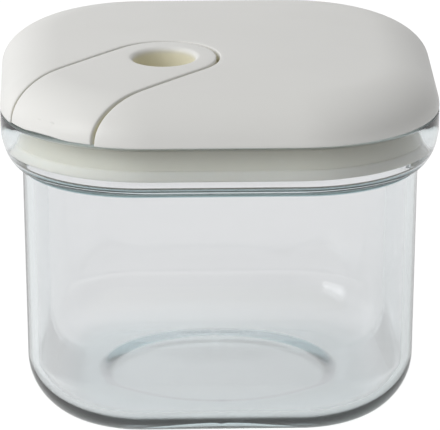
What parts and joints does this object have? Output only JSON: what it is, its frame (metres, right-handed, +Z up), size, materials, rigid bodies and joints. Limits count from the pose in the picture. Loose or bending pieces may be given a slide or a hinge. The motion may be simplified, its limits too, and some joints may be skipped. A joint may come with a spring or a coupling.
{
  "type": "storage jar",
  "caption": "Clear rounded-square storage jar with a domed lid; a corner lever with a finger hole spreads and releases an expanding seal.",
  "frame": {"origin": "middle of the jar's underside, on the surface that it stands on", "axes": "+Z up; the pictured front faces -Y; the lever runs from the lid's middle to the -X -Y corner"},
  "size_m": [0.13, 0.13, 0.1086],
  "materials": {
    "clear_plastic": "polished, clear",
    "lid_plastic": "satin off-white",
    "silicone": "matt warm white",
    "inner_plastic": "matt white",
    "steel": "plain"
  },
  "bodies": {
    "jar": {"jar": "clear_plastic"},
    "lid": {"lid_cover": "lid_plastic", "seal_ring": "silicone", "lid_base": "lid_plastic", "hinge_pin": "steel", "screw_1": "steel", "screw_2": "steel", "screw_3": "steel", "screw_4": "steel"},
    "lever": {"lever": "lid_plastic", "drive_pin": "steel"},
    "expander": {"expander_plate": "inner_plastic"}
  },
  "joints": [
    {"name": "lid_lift", "type": "slide", "parent": "jar", "child": "lid", "axis": [0, 0, 1], "range_m": [0, 0.08]},
    {"name": "lever_swing", "type": "hinge", "parent": "lid", "child": "lever", "pos_m": [-0.05052, -0.05052, 0.0983], "axis": [0.7071, -0.7071, 0], "range_deg": [0, 75]},
    {"name": "expander_travel", "type": "slide", "parent": "lid", "child": "expander", "axis": [0, 0, 1], "range_m": [0, 0.00305]}
  ],
  "couplings": [
    {"joint": "expander_travel", "follows": "lever_swing", "m_per_rad": 0.0023253}
  ]
}
